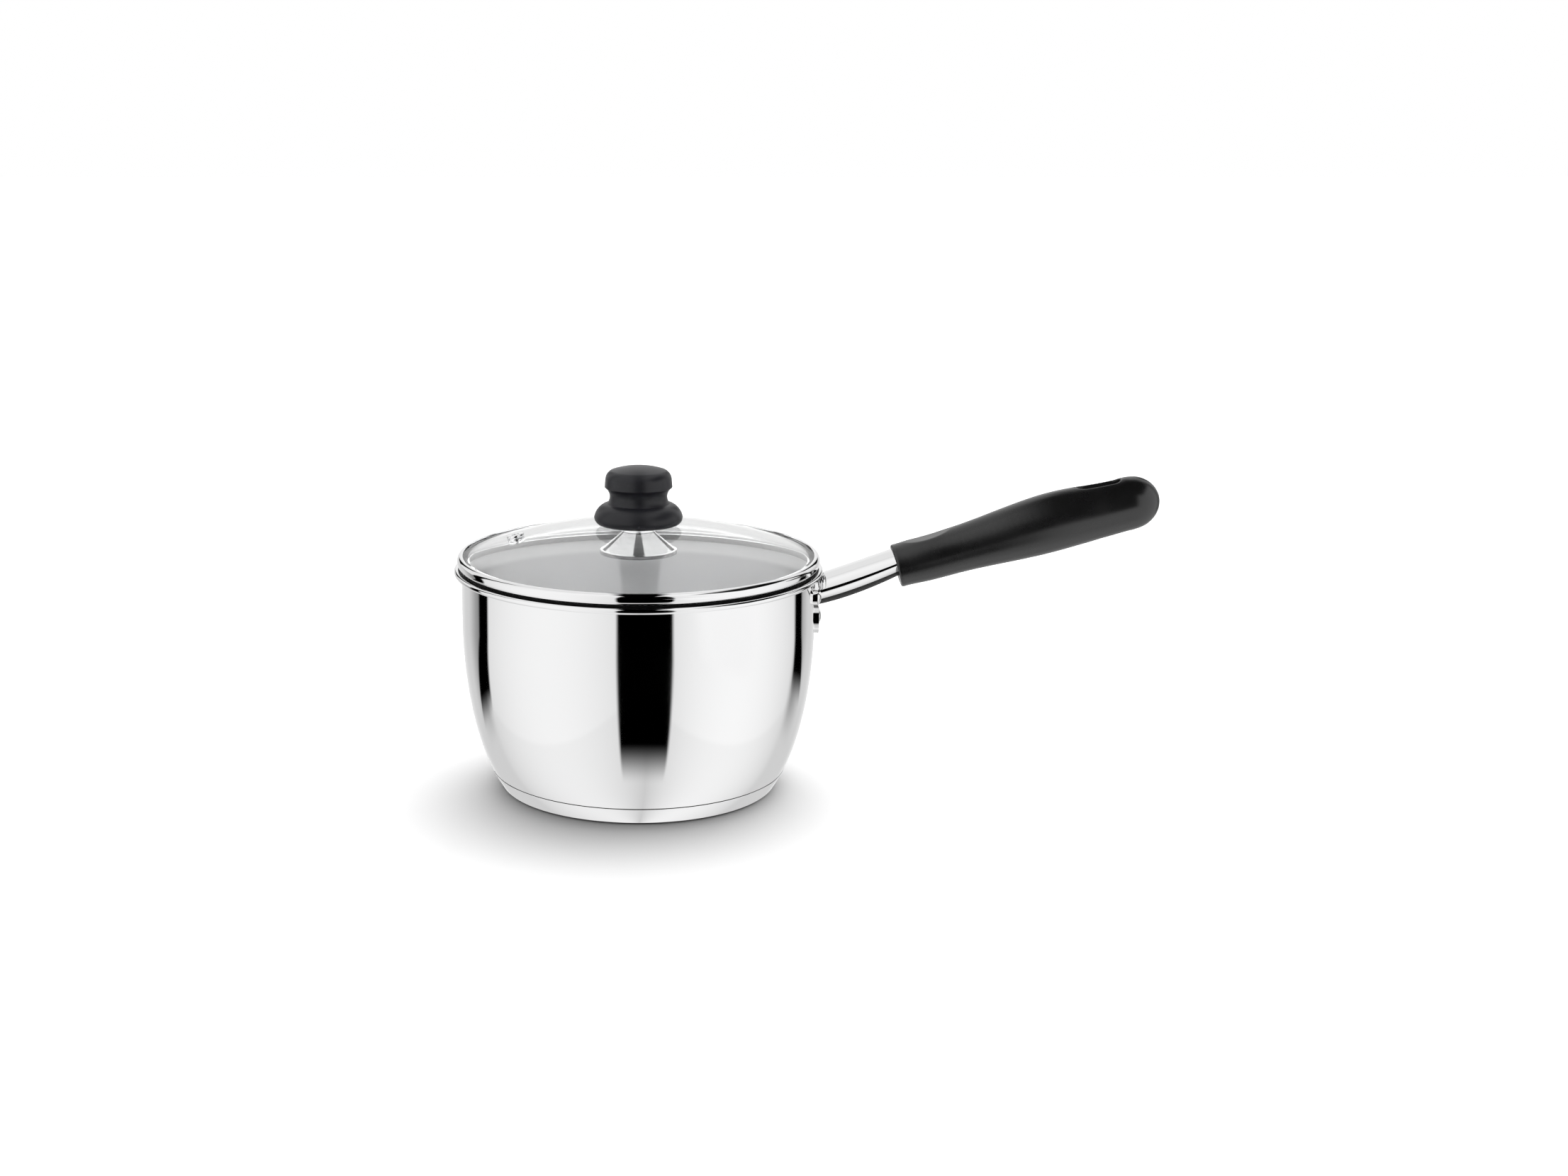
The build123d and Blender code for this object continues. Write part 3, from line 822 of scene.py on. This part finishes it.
def make_ferrule():
    """Hollow ferrule from the bracket's face into the grip's pocket, with painted shade on its underside."""
    slope = math.radians(handle_angle)
    rings = []
    for shrink, order in ((0, 1), (2 * ferrule_wall, -1)):
        side = []
        root = ferrule_section(0, shrink)
        for step in range(ferrule_steps + 1):
            ring = []
            for index, (across, up) in enumerate(root):
                gap = bracket_face_radius - math.sqrt(bracket_face_radius**2 - across**2)
                start = up * math.tan(slope) - gap / math.cos(slope)
                station = start + (ferrule_length + pocket_depth - start) * step / ferrule_steps
                ring.append(handle_point(*ferrule_section(station, shrink)[index], station) * millimetre)
            side.append(ring)
        rings += side[::order]
    heights = [up for across, up in ferrule_section(0, 0)]
    # Faces below this height get the near-black finish of painted shade, for the dark reflection along the
    # ferrule's underside
    dull = min(heights) + ferrule_shade_share * (max(heights) - min(heights))
    count = len(rings[0])
    faces = []
    kinds = []
    for order in range(len(rings)):
        for index in range(count):
            after = (index + 1) % count
            following = (order + 1) % len(rings)
            kinds.append(1 if max(heights[index], heights[after]) < dull else 0)
            faces.append(
                (
                    order * count + index,
                    following * count + index,
                    following * count + after,
                    order * count + after,
                )
            )
    mesh = bpy.data.meshes.new("ferrule")
    mesh.from_pydata([point for ring in rings for point in ring], [], faces)
    mesh.polygons.foreach_set("material_index", kinds)
    mesh.flip_normals()
    return finish_mesh(mesh)


def make_grip():
    """Grip with the edges of its scoop, slot and front rounded off."""
    mesh = worked(
        nodes["handle_grip"].data.copy(),
        ("REMESH", {"mode": "VOXEL", "voxel_size": grip_voxel * millimetre}),
        ("SMOOTH", {"factor": 0.5, "iterations": grip_smoothing}),
    )
    mesh.materials.clear()
    return mesh


vent_spot = vent_frame()
dome_cutter = vent_hole()
dome_cutter.transform(vent_spot)
eyelet = lathe("vent_eyelet", vent_outline())
eyelet.transform(vent_spot)
dome = cut_away(lathe("lid_dome", glass_outline()), dome_cutter)
vessel = lathe("pan_vessel", pan_outline(), is_pan_inside)
band = lathe("lid_band", band_outline(), is_band_under)
place("pan_vessel", vessel, "pan", "polished_steel", "pan_body", polished, brushed)
place("base_shell", lathe("base_shell", cap_outline()), "pan", "polished_steel", "base_cap", polished)
# The ferrule and the lid band get a second finish of painted shade on their undersides
ferrule = place("ferrule", make_ferrule(), "pan", "polished_steel", "handle_ferrule", polished, painted_shade_steel)
grip = place("grip", make_grip(), "pan", "grip_plastic", "handle_grip", grip_plastic)
place("lid_band", band, "lid", "polished_steel", "lid_rim_band", polished, painted_shade_steel)
place("lid_dome", dome, "lid", "clear_glass", "lid_glass", glass)
place("vent_eyelet", eyelet, "lid", "polished_steel", "vent_grommet", polished)
bell = lathe("retainer", retainer_outline())
place("retainer", bell, "lid", "polished_steel", "glass_retainer", retainer_steel)
knob = place("lid_knob", lathe("lid_knob", knob_outline()), "lid", "knob_plastic", "knob", knob_plastic)

# The photograph shows neither a shadow of the handle nor the knob in the mirror of the retainer
for piece in (ferrule, grip):
    piece.visible_diffuse = False
    piece.visible_shadow = False
for piece in (knob, nodes["knob_insert"], nodes["knob_screw"]):
    piece.visible_transmission = False


# Stage, with its floor in metres
floor_reach = 6.0
floor_drop = 0.0002

# Cards beside the handle, in metres: a dark one above the grip and a light one on the floor before it
card_soft = 0.06
flag_place = (0.26, -0.04, 0.30)
flag_size = (0.16, 0.18)
flag_light = (0.0, 0.01)
reflector_place = (0.42, -0.50, 0.0)
reflector_size = (0.22, 0.42)
reflector_light = (0.95, 0.96)

# Studio: degrees round the pan from the front towards the handle, and degrees up from the horizon
gap_sides = (-13.8, 22.0)
gap_soft = 1.3
gap_foot = (-53.5, -36.5)
gap_head = (50.0, 62.0)
overhead_sides = (-0.13, 0.15)
overhead_soft = 0.02
overhead_ends = (45.0, 145.0)
overhead_taper = (95.0, 130.0, 1.0, 0.3)
overhead_end_soft = 6.0
over_one = 1.001
stripe_level = -14.0
stripe_soft = 1.5
stripe_head = (42.0, 52.0)
left_stripe_low = (-125.0, 1.45)
left_stripe_high = (-113.4, 0.6)
left_stripe_foot = (-25.0, -21.0)
right_stripe_low = (121.4, -0.3)
right_stripe_high = (131.0, -1.45)
right_stripe_foot = (-22.0, -18.5)
left_box_middle = -62.0
left_box_light = 0.94
left_box_fall = 0.000062
right_box_middle = 68.0
right_box_light = 0.975
right_box_fall = 0.000085
box_foot = -35.5
box_foot_middle = 62.0
box_foot_curve = 0.0035
box_foot_soft = 1.0
under_box_light = 0.95
back_start = (118.0, 128.0)
back_near = (124.0, 146.0)
back_near_light = (0.25, 0.64)
back_far = (146.0, 178.0)
back_far_light = 0.26
back_low = (-29.0, -20.0)
back_low_light = 0.64
back_high = (-8.0, 8.0)
back_high_light = 0.8
back_gap_sides = (151.0, 163.0)
back_gap_heights = (6.0, 27.0)
back_gap_soft = 2.0

# Gain for light from inside the pan, told by its passes through glass, and limit of bounces for direct light
inside_gain = 3.7
lid_passes = 2.5
direct_bounces = 0.5

# Light on dull surfaces
ambient_light = 0.47
lamp_light = 3.8
lamp_power = 4.0
lamp_way = (0.169, 0.507, 0.845)

# Camera, in metres and in millimetres of its film
camera_place = (0, -0.9728, 0.3242)
camera_aim = (0, 0, 0.0925)
camera_film = 36.0
camera_lens = 49.75
camera_shift = 0.0928


def make_sheet(name, half_width, half_depth):
    """Flat level sheet about the origin."""
    signs = ((-1, -1), (1, -1), (1, 1), (-1, 1))
    mesh = bpy.data.meshes.new(name)
    mesh.from_pydata([(x * half_width, y * half_depth, 0) for x, y in signs], [], [(0, 1, 2, 3)])
    sheet = bpy.data.objects.new(name, mesh)
    scene.collection.objects.link(sheet)
    return sheet


def make_floor():
    """Pale floor under the pan."""
    floor = make_sheet("floor", floor_reach, floor_reach)
    finish, tree, shader = make_finish("floor_finish", Roughness=0.9, Specular_IOR_Level=0.0)
    colour = tint(tree, noise(tree, scale=3.0), first=(0.93, 0.93, 0.93), second=(0.94, 0.94, 0.94))
    tree.links.new(colour, shader.inputs["Base Color"])
    floor.data.materials.append(finish)
    floor.visible_glossy = False
    floor.location.z = -floor_drop


def make_card(name, centre, size, dark, light):
    """Level card with soft edges that only polished surfaces see."""
    card = make_sheet(name, *size)
    finish, tree, shader = make_finish(name + "_finish", Base_Color=(0, 0, 0, 1), Specular_IOR_Level=0.0)
    shader.inputs["Emission Color"].default_value = (1, 1, 1, 1)
    tree.links.new(spread(tree, noise(tree, scale=5.0), dark, light), shader.inputs["Emission Strength"])
    cover = 1.0
    for along, half in zip(split_place(tree), size):
        edge = calc(tree, "SUBTRACT", half, calc(tree, "ABSOLUTE", along))
        cover = calc(tree, "MULTIPLY", cover, ramp(tree, edge, 0.0, card_soft))
    tree.links.new(cover, shader.inputs["Alpha"])
    card.data.materials.append(finish)
    for view in ("camera", "diffuse", "transmission", "volume_scatter", "shadow"):
        setattr(card, "visible_" + view, False)
    card.location = centre


def make_studio_light(tree, x, y, z):
    """Brightness round the pan as polished surfaces show it."""
    front = calc(tree, "MULTIPLY", y, -1.0)
    azimuth = calc(tree, "DEGREES", calc(tree, "ARCTAN2", x, front))
    height = calc(tree, "DEGREES", calc(tree, "ARCSINE", z))
    around = calc(tree, "ABSOLUTE", azimuth)

    # Dark gap at the front, which fades near the floor and runs on overhead, with a divisor kept above zero
    gap = between(tree, azimuth, *gap_sides, gap_soft)
    gap = calc(tree, "MULTIPLY", gap, ramp(tree, height, *gap_foot))
    gap = calc(tree, "MULTIPLY", gap, ramp(tree, height, *gap_head, 1.0, 0.0))
    rise = calc(tree, "DEGREES", calc(tree, "ARCTAN2", z, front))
    depth = calc(tree, "SQRT", calc(tree, "SUBTRACT", over_one, calc(tree, "POWER", x, 2.0)))
    aside = calc(tree, "DIVIDE", x, calc(tree, "MULTIPLY", depth, ramp(tree, rise, *overhead_taper)))
    overhead = between(tree, aside, *overhead_sides, overhead_soft)
    overhead = calc(tree, "MULTIPLY", overhead, between(tree, rise, *overhead_ends, overhead_end_soft))
    dark = calc(tree, "MAXIMUM", gap, overhead)

    # Narrow dark gap behind each soft box, which leans and ends above the floor and below the zenith
    below = calc(tree, "MINIMUM", calc(tree, "SUBTRACT", height, stripe_level), 0.0)
    for low, high, foot in (
        (left_stripe_low, left_stripe_high, left_stripe_foot),
        (right_stripe_low, right_stripe_high, right_stripe_foot),
    ):
        sides = [calc(tree, "MULTIPLY_ADD", below, lean, start) for start, lean in (low, high)]
        stripe = between(tree, azimuth, *sides, stripe_soft)
        stripe = calc(tree, "MULTIPLY", stripe, ramp(tree, height, *foot))
        stripe = calc(tree, "MULTIPLY", stripe, ramp(tree, height, *stripe_head, 1.0, 0.0))
        dark = calc(tree, "MAXIMUM", dark, stripe)

    # Low dark gap on each side behind the pan, which the retainer shows near its edges
    far = between(tree, around, *back_gap_sides, back_gap_soft)
    far = calc(tree, "MULTIPLY", far, between(tree, height, *back_gap_heights, back_gap_soft))
    dark = calc(tree, "MAXIMUM", dark, far)

    # Soft boxes are brightest in their middle and a little greyer below their curved lower edge
    boxes = 0.0
    for middle, light, fall in (
        (left_box_middle, left_box_light, left_box_fall),
        (right_box_middle, right_box_light, right_box_fall),
    ):
        away = calc(tree, "POWER", calc(tree, "SUBTRACT", azimuth, middle), 2.0)
        boxes = calc(tree, "MAXIMUM", boxes, calc(tree, "MULTIPLY_ADD", away, -fall, light))
    off_middle = calc(tree, "POWER", calc(tree, "SUBTRACT", around, box_foot_middle), 2.0)
    edge = calc(tree, "MULTIPLY_ADD", off_middle, box_foot_curve, box_foot)
    over_edge = calc(tree, "SUBTRACT", height, edge)
    over_foot = ramp(tree, over_edge, -box_foot_soft, box_foot_soft, under_box_light, 1.0)
    boxes = calc(tree, "MULTIPLY", boxes, over_foot)

    # Background behind the pan, greyer near the soft boxes and near the floor
    back = ramp(tree, around, *back_near, *back_near_light)
    back = calc(tree, "ADD", back, ramp(tree, around, *back_far, 0.0, back_far_light))
    raised = ramp(tree, height, *back_low)
    low = calc(tree, "MULTIPLY_ADD", raised, -back_low_light, back_low_light)
    back = calc(tree, "MULTIPLY_ADD", back, raised, low)
    back = calc(tree, "MAXIMUM", back, ramp(tree, height, *back_high, 0.0, back_high_light))
    share = ramp(tree, around, *back_start)
    boxes = calc(tree, "MULTIPLY", boxes, calc(tree, "SUBTRACT", 1.0, share))
    light = calc(tree, "ADD", calc(tree, "MULTIPLY", back, share), boxes)
    return calc(tree, "MULTIPLY", light, calc(tree, "SUBTRACT", 1.0, dark))


def make_lamp_light(tree, x, y, z):
    """Brightness that falls on dull surfaces, mostly from above and behind, over an even part."""
    facing = calc(tree, "MULTIPLY", x, lamp_way[0])
    facing = calc(tree, "MULTIPLY_ADD", y, lamp_way[1], facing)
    facing = calc(tree, "MULTIPLY_ADD", z, lamp_way[2], facing)
    lobe = calc(tree, "POWER", calc(tree, "MAXIMUM", facing, 0.0), lamp_power)
    return calc(tree, "MULTIPLY_ADD", lobe, lamp_light, ambient_light)


def make_light():
    """White studio: polished surfaces, dull surfaces and the camera each get their own light.

    Light that went in and out through the lid is raised, for what few bounces inside the pan miss.
    Light that the pan would throw back on the floor is left out, as the photograph has a deep shadow there.
    """
    world = bpy.data.worlds.new("studio")
    scene.world = world
    world.use_nodes = True
    tree = world.node_tree
    tree.nodes.clear()
    way = split_place(tree, "Generated")
    path = tree.nodes.new("ShaderNodeLightPath")
    inside = calc(tree, "GREATER_THAN", path.outputs["Transmission Depth"], lid_passes)
    direct = calc(tree, "LESS_THAN", path.outputs["Diffuse Depth"], direct_bounces)
    gain = calc(tree, "MAXIMUM", calc(tree, "MULTIPLY", inside, inside_gain), direct)
    studio = calc(tree, "MULTIPLY", make_studio_light(tree, *way), gain)
    strengths = (1.0, make_lamp_light(tree, *way), studio)
    whites = []
    for strength in strengths:
        white = tree.nodes.new("ShaderNodeBackground")
        white.inputs["Color"].default_value = (1, 1, 1, 1)
        join(tree, strength, white.inputs["Strength"])
        whites.append(white.outputs[0])
    shown = whites[0]
    for label, white in zip(("Is Diffuse Ray", "Is Glossy Ray"), whites[1:]):
        mix = tree.nodes.new("ShaderNodeMixShader")
        tree.links.new(path.outputs[label], mix.inputs[0])
        tree.links.new(shown, mix.inputs[1])
        tree.links.new(white, mix.inputs[2])
        shown = mix.outputs[0]
    output = tree.nodes.new("ShaderNodeOutputWorld")
    tree.links.new(shown, output.inputs[0])


def make_camera():
    """Camera at the photograph's angle, looking a little down on the pan."""
    camera = bpy.data.objects.new("camera", bpy.data.cameras.new("camera"))
    scene.collection.objects.link(camera)
    camera.location = camera_place
    aim = Vector(camera_aim) - camera.location
    camera.rotation_euler = aim.to_track_quat("-Z", "Y").to_euler()
    camera.data.sensor_width = camera_film
    camera.data.lens = camera_lens
    camera.data.shift_x = camera_shift
    scene.camera = camera


make_floor()
make_card("flag", flag_place, flag_size, *flag_light)
make_card("reflector", reflector_place, reflector_size, *reflector_light)
make_light()
make_camera()
scene.view_settings.view_transform = "Standard"
